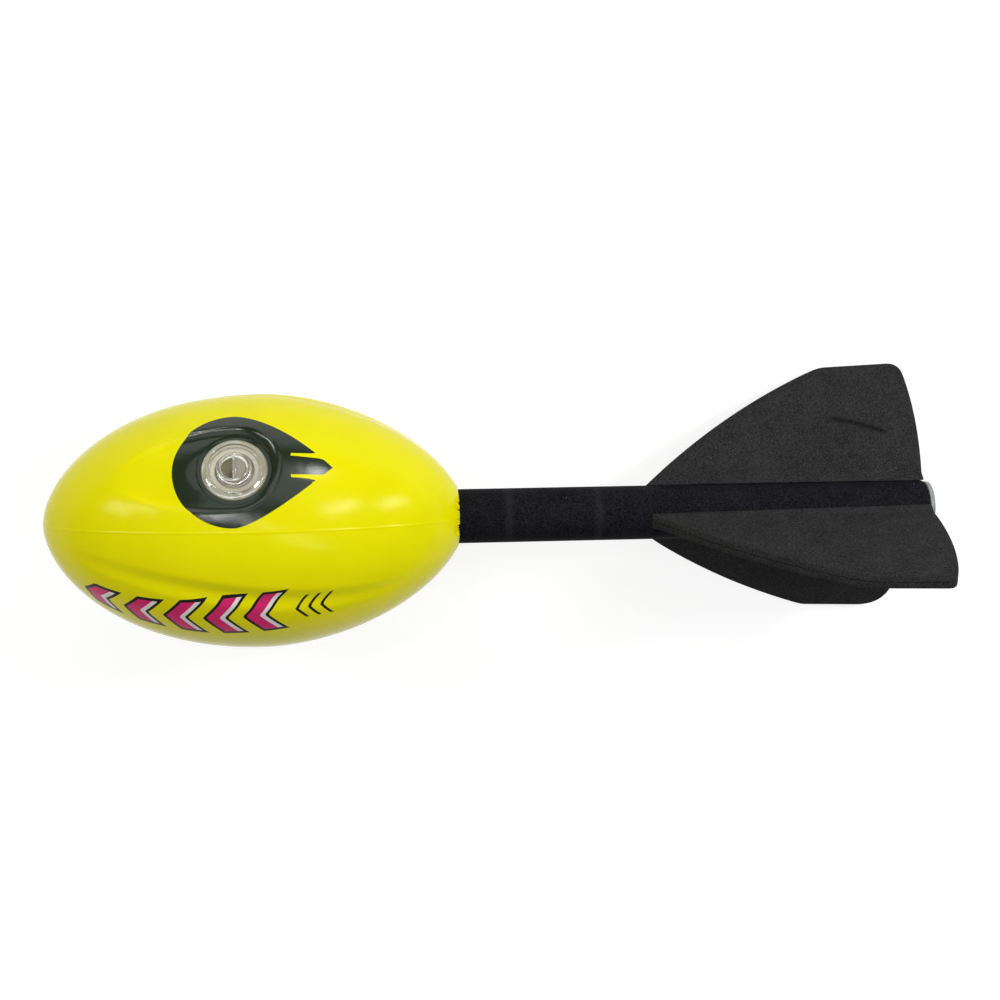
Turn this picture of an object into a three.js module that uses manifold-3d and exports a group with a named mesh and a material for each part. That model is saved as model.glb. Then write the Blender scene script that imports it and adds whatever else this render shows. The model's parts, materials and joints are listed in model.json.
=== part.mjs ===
// A foam throwing toy: a ball-shaped head with two whistles, and a long tail with three foam fins.
// It lies as it comes to rest, on the head and on the tips of two fins, with the third fin upright.
// Millimetres, +Z up. The toy is built along +X from nose to tail, then tipped until it stands level.

import * as THREE from 'three';
import * as BufferGeometryUtils from 'three/addons/utils/BufferGeometryUtils.js';
import Module from 'manifold-3d';

const wasm = await Module();
wasm.setup();

const degree = THREE.MathUtils.DEG2RAD;

// Head. Places along the toy are counted from the head's widest section.
const headRadius = 45;
const noseLength = 76.2;
const sternLength = 73.5;
const noseExponents = { inner: 2.1, outer: 0.569 };
const sternExponents = { inner: 1.83, outer: 0.575 };
const mouthLip = 1.2;
const headSegments = 72;
const noseRings = 15;
const sternRings = 13;

// Angles round the toy are counted about +X, from +Z towards -Y.
const headTopAngle = -104.5 * degree;

// Moulded finger creases, which wind slowly round the head.
const creaseCount = 3;
const creaseDepth = 1.2;
const creaseWidth = 11;
const creaseFront = -66;
const creaseRear = 52;
const creaseTwist = 20 * degree;

// Air scoops: a ramp that rises from the nose to a flat round well, with a whistle in its middle.
const scoopSpread = 60 * degree;
const scoopAngles = [headTopAngle + scoopSpread, headTopAngle - scoopSpread];
const scoopPlace = -8.2;
const wellRadius = 17.2;
const wellDepth = 3.5;
const wellFloorRadius = headRadius - wellDepth;
const wellTilt = 3 * degree;
const wellFillet = 5;
const wellFilletSteps = 6;
const rampForward = 14.5;
const rampRise = 0.35;
const rampSlope = 8 * degree;
const rampLift = 0.65;
const rampReach = 42;
const rampFall = 5.5;
const rampSegments = 8;
const scoopSegments = 40;

// Whistle: a clear face with a half-moon window, and a clear cup behind it.
const faceRadius = 10.8;
const faceThickness = 1.6;
const faceProud = 0.8;
const faceRimWidth = 1.1;
const faceRimHeight = 0.6;
const faceDish = 0.9;
const windowRadius = 4.4;
const windowLip = 0.5;
const cupWall = 0.9;
const cupInnerRadius = 5.3;
const cupLength = 22;
const cupFlangeWidth = 2;
const cupFlange = 1.1;
const cupOuterRadius = cupInnerRadius + cupWall;
const cupFlangeRadius = cupOuterRadius + cupFlangeWidth;
const whistleSegments = 32;

// Tail sleeve.
const sleeveRadius = 9.75;
const sleeveInsert = 20;
const sleeveEnd = 242.5;
const sleeveRound = 0.8;
const sleeveSegments = 40;

// Core tube, with a plug at each end.
const tubeRadius = 6;
const tubeWall = 1.5;
const tubeFront = -22;
const frontPlugFlange = 3;
const frontPlugRadius = tubeRadius + frontPlugFlange;
const frontPlugHead = 3;
const plugDepth = 10;
const endCapInset = 0.45;
const endCapRadius = sleeveRadius - endCapInset;
const endCapThickness = 1.8;
const endCapChamfer = 0.5;
const tubeSegments = 28;

// Fins. Each is two foam sheets glued back to back, with a foot on either side.
const finCount = 3;
const finSheet = 2.35;
const finGlue = 0.3;
const finRootLength = 103;
const finShoulder = { beforeEnd: 36, height: 45.45 };
const finTip = { beforeEnd: 5, rise: 1.6 };
const finFrontBulge = 3.3;
const finRearBulge = 1.8;
const finSegments = 12;
const shoulderRound = 5;
const tipRound = 3;
const footWidth = 3;
const footHeight = 3.2;
const footEdge = 0.8;
const footSegments = 5;
const finRootFront = sleeveEnd - finRootLength;

// The tail tips down by less than this when the toy lies at rest.
const steepestTip = 45 * degree;
const tipHalvings = 40;

// Pieces that sit against each other keep this gap. Cuts run past the solid by the overrun.
const seatGap = 0.3;
const overrun = 5;

const foamYellow = new THREE.MeshStandardMaterial({ color: '#e3e013', roughness: 0.4, metalness: 0 });
const clearPlastic = new THREE.MeshStandardMaterial({ color: '#d9dad4', roughness: 0.08, metalness: 0 });
const tubePlastic = new THREE.MeshStandardMaterial({ color: '#c9cac8', roughness: 0.45, metalness: 0 });
const sleeveFoam = new THREE.MeshStandardMaterial({ color: '#17171b', roughness: 0.95, metalness: 0 });
const finFoam = new THREE.MeshStandardMaterial({ color: '#232324', roughness: 0.9, metalness: 0 });

// A closed mesh with merged corners, as a solid for joining and cutting.
function solid(geometry) {
  const bare = geometry.clone();
  bare.deleteAttribute('normal');
  bare.deleteAttribute('uv');
  const merged = BufferGeometryUtils.mergeVertices(bare);
  const corners = merged.index.array;
  const triangles = [];
  for (let i = 0; i < corners.length; i += 3) {
    const [a, b, c] = corners.slice(i, i + 3);
    if (a !== b && b !== c && c !== a) triangles.push(a, b, c);
  }
  return new wasm.Manifold(new wasm.Mesh({
    numProp: 3,
    vertProperties: new Float32Array(merged.attributes.position.array),
    triVerts: new Uint32Array(triangles),
  }));
}

// The triangles of a solid, as a geometry.
function surface(body) {
  const mesh = body.getMesh();
  const geometry = new THREE.BufferGeometry();
  geometry.setAttribute('position', new THREE.BufferAttribute(new Float32Array(mesh.vertProperties), 3));
  geometry.setIndex(new THREE.BufferAttribute(new Uint32Array(mesh.triVerts), 1));
  geometry.computeVertexNormals();
  return geometry;
}

// A profile of [radius, along] pairs, turned about +X.
function turnedAlongX(profile, segments) {
  const points = profile.map(([radius, along]) => new THREE.Vector2(radius, along));
  return new THREE.LatheGeometry(points, segments).rotateZ(-Math.PI / 2);
}

// A profile of [radius, height] pairs, turned about +Z.
function turnedAlongZ(profile, segments) {
  const points = profile.map(([radius, height]) => new THREE.Vector2(radius, height));
  return new THREE.LatheGeometry(points, segments).rotateX(Math.PI / 2);
}

// A plain cylinder along +X.
function rod(radius, from, to, segments) {
  return turnedAlongX([[0, from], [radius, from], [radius, to], [0, to]], segments);
}

// A plain cylinder along +Z.
function post(radius, from, to, segments) {
  return turnedAlongZ([[0, from], [radius, from], [radius, to], [0, to]], segments);
}

// A tube along +X with square ends.
function sleeveTube(innerRadius, outerRadius, from, to, segments) {
  const profile = [
    [innerRadius, from],
    [outerRadius, from],
    [outerRadius, to],
    [innerRadius, to],
    [innerRadius, from],
  ];
  return turnedAlongX(profile, segments);
}

function piece(name, geometry, material) {
  const mesh = new THREE.Mesh(geometry, material);
  mesh.name = name;
  return mesh;
}

// Outline of the head: full at the middle, drawn in to a blunt nose and to a slender stern.
function headProfileRadius(along) {
  const { inner, outer } = along < 0 ? noseExponents : sternExponents;
  const reach = along < 0 ? noseLength : sternLength;
  const share = Math.min(Math.abs(along) / reach, 1);
  return headRadius * (1 - share ** inner) ** outer;
}

// The place at which the stern has drawn in to the given radius.
function sternPlace(radius) {
  const { inner, outer } = sternExponents;
  return sternLength * (1 - (radius / headRadius) ** (1 / outer)) ** (1 / inner);
}

const socketRadius = sleeveRadius + seatGap;
const mouthPlace = sternPlace(socketRadius + mouthLip);

// How far a crease has wound round the head at a place along it.
function creaseWinding(along) {
  const middle = (creaseFront + creaseRear) / 2;
  return creaseTwist * (along - middle) / (creaseRear - creaseFront);
}

// Depth of the creases: a rounded valley across, which fades out towards both of its ends.
function creaseSink(along, angleFromTop) {
  if (along <= creaseFront || along >= creaseRear) return 0;
  const pitch = 2 * Math.PI / creaseCount;
  const offset = angleFromTop - pitch * Math.round(angleFromTop / pitch);
  const across = offset * headRadius / creaseWidth;
  if (Math.abs(across) >= 0.5) return 0;
  const run = (along - creaseFront) / (creaseRear - creaseFront);
  return creaseDepth * Math.cos(Math.PI * across) ** 2 * Math.sin(Math.PI * run);
}

// Head skin: a turned profile whose rings follow the winding of the creases and sink into them.
function headSkin() {
  const profile = [];
  for (let i = 0; i <= noseRings; i += 1) {
    const along = -noseLength * Math.cos(Math.PI / 2 * i / noseRings);
    profile.push([headProfileRadius(along), along]);
  }
  for (let i = 1; i <= sternRings; i += 1) {
    const along = mouthPlace * Math.sin(Math.PI / 2 * i / sternRings);
    profile.push([headProfileRadius(along), along]);
  }
  profile.push([0, mouthPlace]);
  profile[0][0] = 0;
  const skin = turnedAlongX(profile, headSegments);
  const position = skin.attributes.position;
  for (let i = 0; i < position.count; i += 1) {
    const along = position.getX(i);
    const radius = Math.hypot(position.getY(i), position.getZ(i));
    if (radius > 0 && along < mouthPlace) {
      const angle = Math.atan2(-position.getY(i), position.getZ(i));
      const turned = headTopAngle + angle + creaseWinding(along);
      const sunk = radius - creaseSink(along, angle);
      position.setY(i, -sunk * Math.sin(turned));
      position.setZ(i, sunk * Math.cos(turned));
    }
  }
  return skin;
}

// Frame of a whistle: its origin is on the well's floor, +Z points out and +X towards the tail.
function whistleFrame(angle) {
  const place = new THREE.Matrix4().makeTranslation(scoopPlace, 0, 0);
  const turn = new THREE.Matrix4().makeRotationX(angle);
  const lift = new THREE.Matrix4().makeTranslation(0, 0, wellFloorRadius);
  const lean = new THREE.Matrix4().makeRotationY(-wellTilt);
  return place.multiply(turn).multiply(lift).multiply(lean);
}

// The well: a round pocket with a filleted floor, open outwards.
function wellCutter() {
  const top = headRadius - wellFloorRadius + overrun;
  const profile = [[0, 0]];
  for (let i = 0; i <= wellFilletSteps; i += 1) {
    const turn = Math.PI / 2 * i / wellFilletSteps;
    const radius = wellRadius - wellFillet + wellFillet * Math.sin(turn);
    profile.push([radius, wellFillet - wellFillet * Math.cos(turn)]);
  }
  profile.push([wellRadius, top], [0, top]);
  return solid(turnedAlongZ(profile, scoopSegments));
}

// The ramp: everything above a curved sheet that falls from the well towards the nose, ever steeper.
function rampCutter() {
  const slope = Math.tan(rampSlope);
  const noseEnd = -rampForward - rampReach;
  const noseHeight = rampRise - rampReach * slope - rampFall;
  const rearHeight = rampRise + rampForward * slope + rampLift;
  const rearMiddle = rampRise + rampForward / 2 * slope;
  const noseMiddle = rampRise - rampReach / 2 * slope;
  const outline = new THREE.Shape();
  outline.moveTo(0, headRadius);
  outline.lineTo(noseEnd, headRadius);
  outline.lineTo(noseEnd, noseHeight);
  outline.quadraticCurveTo(-rampForward - rampReach / 2, noseMiddle, -rampForward, rampRise);
  outline.quadraticCurveTo(-rampForward / 2, rearMiddle, 0, rearHeight);
  outline.closePath();
  const block = new THREE.ExtrudeGeometry(outline, {
    depth: 2 * headRadius,
    bevelEnabled: false,
    curveSegments: rampSegments,
  });
  return solid(block.rotateX(Math.PI / 2).translate(0, headRadius, 0));
}

// The whistle's seat: a shallow step for the face, one for the cup's flange, and a bore for the cup.
function whistleSeatCutter() {
  const faceSeat = post(faceRadius + seatGap, faceProud - faceThickness - seatGap, overrun, whistleSegments);
  const flangeFloor = faceProud - faceThickness - cupFlange - 2 * seatGap;
  const flangeSeat = post(cupFlangeRadius + seatGap, flangeFloor, overrun, whistleSegments);
  const boreFloor = faceProud - faceThickness - cupLength - 2 * seatGap;
  const bore = post(cupOuterRadius + seatGap, boreFloor, overrun, whistleSegments);
  return solid(faceSeat).add(solid(flangeSeat)).add(solid(bore));
}

// Inside of the head: a socket for the sleeve, a bore for the tube and a pocket for its front plug.
function coreCutter() {
  const socket = rod(socketRadius, mouthPlace - sleeveInsert - seatGap, mouthPlace + overrun, sleeveSegments);
  const bore = rod(tubeRadius + seatGap, tubeFront - seatGap, mouthPlace + overrun, tubeSegments);
  const pocketFront = tubeFront - frontPlugHead - 2 * seatGap;
  const pocket = rod(frontPlugRadius + seatGap, pocketFront, tubeFront, tubeSegments);
  return solid(socket).add(solid(bore)).add(solid(pocket));
}

function headFoam() {
  const scoop = wellCutter().add(rampCutter()).add(whistleSeatCutter());
  let body = solid(headSkin()).subtract(coreCutter());
  for (const angle of scoopAngles) {
    body = body.subtract(scoop.transform(whistleFrame(angle).toArray()));
  }
  return piece('head_foam', surface(body), foamYellow);
}

// Clear whistle face: a dished disc with a raised rim. A flat lip closes the tail half of its hole.
function whistleFace(name) {
  const top = faceProud;
  const bottom = faceProud - faceThickness;
  const inner = cupInnerRadius;
  const rimInner = faceRadius - faceRimWidth;
  const disc = turnedAlongZ([
    [inner, bottom],
    [faceRadius, bottom],
    [faceRadius, top],
    [rimInner, top],
    [rimInner, top - faceRimHeight],
    [inner, top - faceDish],
    [inner, bottom],
  ], whistleSegments);
  const plateOutline = new THREE.Shape();
  plateOutline.absarc(0, 0, cupOuterRadius, 0, 2 * Math.PI, false);
  const window = new THREE.Path();
  window.moveTo(-windowLip, -windowRadius);
  window.lineTo(-windowLip, windowRadius);
  window.absarc(-windowLip, 0, windowRadius, Math.PI / 2, 3 * Math.PI / 2, false);
  plateOutline.holes.push(window);
  const plate = new THREE.ExtrudeGeometry(plateOutline, {
    depth: faceThickness - faceDish,
    bevelEnabled: false,
    curveSegments: whistleSegments / 2,
  }).translate(0, 0, bottom);
  return piece(name, surface(solid(disc).add(solid(plate))), clearPlastic);
}

// Clear cup: a closed tube with a flange at its mouth, which is the whistle's air chamber.
function whistleCup(name) {
  const top = faceProud - faceThickness - seatGap;
  const cup = turnedAlongZ([
    [0, top - cupLength],
    [cupOuterRadius, top - cupLength],
    [cupOuterRadius, top - cupFlange],
    [cupFlangeRadius, top - cupFlange],
    [cupFlangeRadius, top],
    [cupInnerRadius, top],
    [cupInnerRadius, top - cupLength + cupWall],
    [0, top - cupLength + cupWall],
  ], whistleSegments);
  return piece(name, surface(solid(cup)), clearPlastic);
}

function whistle(side, angle) {
  const group = new THREE.Group();
  group.applyMatrix4(whistleFrame(angle));
  group.add(whistleFace(`whistle_face_${side}`), whistleCup(`whistle_cup_${side}`));
  return group;
}

function coreTube() {
  const tube = sleeveTube(tubeRadius - tubeWall, tubeRadius, tubeFront, sleeveEnd, tubeSegments);
  return piece('core_tube', surface(solid(tube)), tubePlastic);
}

// Front plug: a spigot in the tube, and a wide head that the foam is moulded round.
function frontPlug() {
  const spigotRadius = tubeRadius - tubeWall - seatGap;
  const headRear = tubeFront - seatGap;
  const plug = turnedAlongX([
    [0, headRear - frontPlugHead],
    [frontPlugRadius, headRear - frontPlugHead],
    [frontPlugRadius, headRear],
    [spigotRadius, headRear],
    [spigotRadius, tubeFront + plugDepth],
    [0, tubeFront + plugDepth],
  ], tubeSegments);
  return piece('tube_front_plug', surface(solid(plug)), tubePlastic);
}

// End cap: a spigot in the tube, and a pale disc over the end of the sleeve.
function endCap() {
  const spigotRadius = tubeRadius - tubeWall - seatGap;
  const inside = sleeveEnd + seatGap;
  const outside = inside + endCapThickness;
  const cap = turnedAlongX([
    [0, sleeveEnd - plugDepth],
    [spigotRadius, sleeveEnd - plugDepth],
    [spigotRadius, inside],
    [endCapRadius, inside],
    [endCapRadius, outside - endCapChamfer],
    [endCapRadius - endCapChamfer, outside],
    [0, outside],
  ], sleeveSegments);
  return piece('tail_end_cap', surface(solid(cap)), tubePlastic);
}

// Sleeve: a foam tube over the core, its front end sunk in the head, its rear edge eased.
function tailSleeve() {
  const inner = tubeRadius + seatGap;
  const front = mouthPlace - sleeveInsert;
  const tube = turnedAlongX([
    [inner, front],
    [sleeveRadius, front],
    [sleeveRadius, sleeveEnd - sleeveRound],
    [sleeveRadius - sleeveRound, sleeveEnd],
    [inner, sleeveEnd],
    [inner, front],
  ], sleeveSegments);
  return piece('tail_sleeve', surface(solid(tube)), sleeveFoam);
}

// The point on the way from one point to another, a set distance from the first.
function towards(from, to, distance) {
  return from.clone().lerp(to, distance / from.distanceTo(to));
}

// The middle of a line, pushed to its left by the bulge: a control point for a shallow curve.
function bulged(from, to, bulge) {
  const middle = from.clone().lerp(to, 0.5);
  const left = new THREE.Vector2(from.y - to.y, to.x - from.x).normalize();
  return middle.addScaledVector(left, 2 * bulge);
}

// Outline of a fin: swept and bowed in front, square at the tip, with eased corners.
function finOutline() {
  const root = sleeveRadius - footEdge;
  const front = new THREE.Vector2(finRootFront, root);
  const shoulder = new THREE.Vector2(sleeveEnd - finShoulder.beforeEnd, sleeveRadius + finShoulder.height);
  const tip = new THREE.Vector2(sleeveEnd - finTip.beforeEnd, shoulder.y + finTip.rise);
  const rear = new THREE.Vector2(sleeveEnd, root);
  const frontBow = bulged(front, shoulder, finFrontBulge);
  const rearBow = bulged(tip, rear, finRearBulge);
  const shoulderIn = towards(shoulder, frontBow, shoulderRound);
  const shoulderOut = towards(shoulder, tip, shoulderRound);
  const tipIn = towards(tip, shoulder, tipRound);
  const tipOut = towards(tip, rearBow, tipRound);
  const outline = new THREE.Shape();
  outline.moveTo(front.x, front.y);
  outline.quadraticCurveTo(frontBow.x, frontBow.y, shoulderIn.x, shoulderIn.y);
  outline.quadraticCurveTo(shoulder.x, shoulder.y, shoulderOut.x, shoulderOut.y);
  outline.lineTo(tipIn.x, tipIn.y);
  outline.quadraticCurveTo(tip.x, tip.y, tipOut.x, tipOut.y);
  outline.quadraticCurveTo(rearBow.x, rearBow.y, rear.x, rear.y);
  outline.closePath();
  return outline;
}

// Section of a sheet's foot: it sweeps from the sheet's face out to a thin edge on the sleeve.
function footOutline() {
  const face = finGlue / 2 + finSheet;
  const edge = face + footWidth;
  const edgeHeight = Math.sqrt(sleeveRadius ** 2 - edge ** 2);
  const outline = new THREE.Shape();
  outline.moveTo(finGlue / 2, edgeHeight);
  outline.lineTo(edge, edgeHeight);
  outline.lineTo(edge, edgeHeight + footEdge);
  outline.quadraticCurveTo(face, sleeveRadius, face, sleeveRadius + footHeight);
  outline.lineTo(finGlue / 2, sleeveRadius + footHeight);
  outline.closePath();
  return outline;
}

// One sheet of a fin with its foot, standing up along +Z on the sleeve, on the +Y side of the fin.
function finSheetSolid() {
  const sheet = new THREE.ExtrudeGeometry(finOutline(), {
    depth: finSheet,
    bevelEnabled: false,
    curveSegments: finSegments,
  }).rotateX(Math.PI / 2).translate(0, finGlue / 2 + finSheet, 0);
  const rootAxes = new THREE.Matrix4().makeBasis(
    new THREE.Vector3(0, 1, 0),
    new THREE.Vector3(0, 0, 1),
    new THREE.Vector3(1, 0, 0),
  );
  const footFront = finRootFront + footHeight;
  const foot = new THREE.ExtrudeGeometry(footOutline(), {
    depth: sleeveEnd - footFront,
    bevelEnabled: false,
    curveSegments: footSegments,
  }).applyMatrix4(rootAxes).translate(footFront, 0, 0);
  const seat = rod(sleeveRadius + seatGap, 0, sleeveEnd + overrun, sleeveSegments);
  return solid(sheet).add(solid(foot)).subtract(solid(seat));
}

function fins() {
  const group = new THREE.Group();
  const sheet = finSheetSolid();
  const sides = [
    { side: 'a', body: sheet },
    { side: 'b', body: sheet.mirror([0, 1, 0]) },
  ];
  for (let i = 0; i < finCount; i += 1) {
    for (const { side, body } of sides) {
      const half = piece(`fin_${i + 1}_sheet_${side}`, surface(body), finFoam);
      half.rotation.x = 2 * Math.PI * i / finCount;
      group.add(half);
    }
  }
  return group;
}

const toy = new THREE.Group();
const head = headFoam();
const finSet = fins();
toy.add(head, whistle('left', scoopAngles[0]), whistle('right', scoopAngles[1]));
toy.add(coreTube(), frontPlug(), tailSleeve(), endCap(), finSet);

// Every corner of a group, in the frame of the toy.
function cornersOf(object) {
  const corners = [];
  object.updateWorldMatrix(true, true);
  object.traverse((child) => {
    if (!child.isMesh) return;
    const position = child.geometry.attributes.position;
    for (let i = 0; i < position.count; i += 1) {
      corners.push(new THREE.Vector3().fromBufferAttribute(position, i).applyMatrix4(child.matrixWorld));
    }
  });
  return corners;
}

// Height of the lowest corner when the tail is tipped down by the given angle.
function lowest(corners, tip) {
  const heights = corners.map((corner) => corner.z * Math.cos(tip) - corner.x * Math.sin(tip));
  return heights.reduce((low, height) => Math.min(low, height));
}

// The tip at which the head and the fins reach equally low, found by halving.
function restingTip() {
  const headCorners = cornersOf(head);
  const finCorners = cornersOf(finSet);
  let low = 0;
  let high = steepestTip;
  for (let i = 0; i < tipHalvings; i += 1) {
    const middle = (low + high) / 2;
    if (lowest(finCorners, middle) > lowest(headCorners, middle)) low = middle;
    else high = middle;
  }
  return (low + high) / 2;
}

toy.rotation.y = restingTip();
const box = new THREE.Box3().setFromObject(toy, true);
toy.position.set(-(box.min.x + box.max.x) / 2, -(box.min.y + box.max.y) / 2, -box.min.z);

const model = new THREE.Group();
model.add(toy);
model.updateMatrixWorld(true);

export default model;
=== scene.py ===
# A foam throwing toy: a ball-shaped head with two whistles, and a slim tail with three foam fins.
# It lies as it comes to rest, on the head and on two fin tips. Meshes are in metres, and the sizes
# of the pieces are written in millimetres.

import json
import math

import bpy
import numpy as np
from mathutils import Matrix


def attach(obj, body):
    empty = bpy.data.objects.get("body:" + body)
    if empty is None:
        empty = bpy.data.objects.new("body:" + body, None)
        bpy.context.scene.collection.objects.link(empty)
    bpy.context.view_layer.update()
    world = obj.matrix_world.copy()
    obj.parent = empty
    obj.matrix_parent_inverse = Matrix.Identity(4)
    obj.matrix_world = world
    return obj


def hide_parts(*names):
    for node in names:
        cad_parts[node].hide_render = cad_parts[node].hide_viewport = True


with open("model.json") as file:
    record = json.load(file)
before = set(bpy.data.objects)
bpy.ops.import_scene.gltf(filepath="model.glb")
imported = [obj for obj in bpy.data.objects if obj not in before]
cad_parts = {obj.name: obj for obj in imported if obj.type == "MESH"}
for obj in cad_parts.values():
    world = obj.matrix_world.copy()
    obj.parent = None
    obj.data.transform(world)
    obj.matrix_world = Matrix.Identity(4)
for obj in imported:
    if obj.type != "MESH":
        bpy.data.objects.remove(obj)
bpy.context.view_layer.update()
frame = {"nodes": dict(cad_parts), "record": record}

# The toy's line runs from nose to tail, and every piece is placed by it. The record's one mount gives
# it: the middle of the tail end cap's outer face, and the way square to that face. Places along the
# line are counted from the head's widest section, and turns about it from the upright fin.
MM = 0.001
SLEEVE_END = 242.5
SEAT_GAP = 0.3
CAP_THICKNESS = 1.8
CAP_FACE = SLEEVE_END + SEAT_GAP + CAP_THICKNESS
cap_face = frame["record"]["mounts"][0]
line_end = np.array(cap_face["pos_m"])
line = np.array(cap_face["axis"])
across = np.array([0.0, 1.0, 0.0])
upward = np.cross(line, across)


def place_at(along, outwards, sideways=0.0, turn=0.0):
    """A place along the line, moved out from it at a turn and then square to both, in the CAD's metres."""
    along, outwards, sideways, turn = np.broadcast_arrays(along, outwards, sideways, turn)
    cosine, sine = np.cos(turn)[..., None], np.sin(turn)[..., None]
    out = cosine * upward - sine * across
    side = -sine * upward - cosine * across
    way = (along - CAP_FACE)[..., None] * line + outwards[..., None] * out + sideways[..., None] * side
    return line_end + MM * way


# Head. One moulded piece of yellow polyurethane foam with a closed skin, moulded round the core tube.
# The mould gives it three winding finger creases, a parting seam on either side, and two scoops: each
# is a ramp that sinks under the skin to a round well, where a clear whistle sits in a stepped seat.
HEAD_RADIUS = 45.0
NOSE_LENGTH = 76.2
STERN_LENGTH = 73.5
NOSE_INNER_POWER, NOSE_OUTER_POWER = 2.1, 0.569
STERN_INNER_POWER, STERN_OUTER_POWER = 1.83, 0.575
SLEEVE_RADIUS = 9.75
SLEEVE_INSERT = 20.0
MOUTH_RADIUS = SLEEVE_RADIUS + 1.5


def head_radius(along):
    """The widest radius, times one less a power of the share of the way to the end, to a second power."""
    nose = along < 0
    share = np.clip(np.abs(along) / np.where(nose, NOSE_LENGTH, STERN_LENGTH), 0, 1)
    inner = np.where(nose, NOSE_INNER_POWER, STERN_INNER_POWER)
    outer = np.where(nose, NOSE_OUTER_POWER, STERN_OUTER_POWER)
    return HEAD_RADIUS * (1 - share**inner) ** outer


mouth_share = (1 - (MOUTH_RADIUS / HEAD_RADIUS) ** (1 / STERN_OUTER_POWER)) ** (1 / STERN_INNER_POWER)
MOUTH = STERN_LENGTH * mouth_share

# Turns on the head are counted from its top, the crease midway between the whistles.
HEAD_TOP = math.radians(-104.5)
CREASE_COUNT = 3
CREASE_DEPTH = 1.2
CREASE_WIDTH = 11.0
CREASE_FRONT, CREASE_REAR = -66.0, 52.0
CREASE_TWIST = math.radians(20)
SEAM_RISE = 0.13
SEAM_WIDTH = 0.34


def crease_sink(along, turn):
    """A squared cosine across each crease and half a sine wave along it, about a line that winds."""
    run = np.clip((along - CREASE_FRONT) / (CREASE_REAR - CREASE_FRONT), 0, 1)
    pitch = 2 * math.pi / CREASE_COUNT
    off = turn - CREASE_TWIST * (run - 0.5)
    off = off - pitch * np.round(off / pitch)
    width = np.clip(off * HEAD_RADIUS / CREASE_WIDTH, -0.5, 0.5)
    return CREASE_DEPTH * np.cos(math.pi * width) ** 2 * np.sin(math.pi * run)


def seam_rise(along, turn):
    """A bell-shaped ridge, a quarter turn either side of the head's top."""
    off = (np.abs(turn) - math.pi / 2) * head_radius(along)
    return SEAM_RISE * np.exp(-((off / SEAM_WIDTH) ** 2))


SCOOP_TURN = math.radians(60)
SCOOP_PLACE = -8.2
WELL_DEPTH = 3.5
WELL_FLOOR = HEAD_RADIUS - WELL_DEPTH
WELL_TILT = math.radians(3)
WELL_FILLET = 5.0
WELL_FLOOR_RADIUS = 12.2
RAMP_END = 43.5
RAMP_RUN = 22.0
RAMP_DEPTH = 2.0
SCOOP_NARROWING = 0.0062
SCOOP_EASE, SCOOP_EASE_GROWTH = 0.02, 0.22
FILLET_SHARE = 0.98
WALL_SLOPE = 8.0
SKIN_PASSES = 8
LEAST_SQUARE = 1.0


def soft_least(first, second, ease):
    """The lesser of two heights, with the corner between them rounded over the ease."""
    lean = np.clip(0.5 + 0.5 * (second - first) / ease, 0, 1)
    return second + (first - second) * lean - ease * lean * (1 - lean)


def from_whistle(x, y, z):
    """A point of a whistle's own frame, on the well's floor, as a place, radius and turn on the line."""
    out = WELL_FLOOR + x * math.sin(WELL_TILT) + z * math.cos(WELL_TILT)
    along = SCOOP_PLACE + x * math.cos(WELL_TILT) - z * math.sin(WELL_TILT)
    return along, np.hypot(out, y), np.arctan2(y, out)


def to_whistle(along, radius, turn):
    """The same, the other way round."""
    out = radius * np.cos(turn) - WELL_FLOOR
    x = (along - SCOOP_PLACE) * math.cos(WELL_TILT) + out * math.sin(WELL_TILT)
    z = out * math.cos(WELL_TILT) - (along - SCOOP_PLACE) * math.sin(WELL_TILT)
    return x, radius * np.sin(turn), z


def scoop_height(x, y):
    """Height over the well's floor: the lesser of the skin and a trough, whose wall rises in a fillet.

    The skin is found in a few passes, and the least square keeps its root real past the toy's side.
    """
    skin = np.zeros_like(x)
    for _ in range(SKIN_PASSES):
        along = SCOOP_PLACE + x * math.cos(WELL_TILT) - skin * math.sin(WELL_TILT)
        out = np.sqrt(np.maximum(head_radius(along) ** 2 - y**2, LEAST_SQUARE)) - WELL_FLOOR
        skin = (out - x * math.sin(WELL_TILT)) / math.cos(WELL_TILT)
    share = np.clip((x + RAMP_END) / RAMP_RUN, 0, 1)
    ramp = skin - RAMP_DEPTH * share**2 * (3 - 2 * share)
    reach = np.where(x < 0, np.abs(y) + SCOOP_NARROWING * x**2, np.hypot(x, y)) - WELL_FLOOR_RADIUS
    steep = WELL_FILLET * FILLET_SHARE
    wall = WELL_FILLET - np.sqrt(WELL_FILLET**2 - np.clip(reach, 0, steep) ** 2)
    wall = wall + WALL_SLOPE * np.maximum(reach - steep, 0)
    ease = SCOOP_EASE + SCOOP_EASE_GROWTH * share
    return soft_least(skin, soft_least(0.0, ramp, ease) + wall, ease)


def grid_quads(rows, columns, rows_close=False):
    """Quads between the neighbours of a grid of points whose columns close on themselves."""
    i = np.arange(rows if rows_close else rows - 1)[:, None]
    j = np.arange(columns)[None, :]
    following, beside = (i + 1) % rows, (j + 1) % columns
    row, next_row = i * columns, following * columns
    corners = [row + j, row + beside, next_row + beside, next_row + j]
    return np.stack(np.broadcast_arrays(*corners), -1)


def fan(row, pole, before=False):
    """Triangles that close a piece at a pole after its last row, or before its first."""
    following = np.roll(row, -1)
    poles = np.full_like(row, pole)
    return np.stack([following, row, poles] if before else [row, following, poles], -1)


SHARP_ANGLE = math.radians(42)


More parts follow.
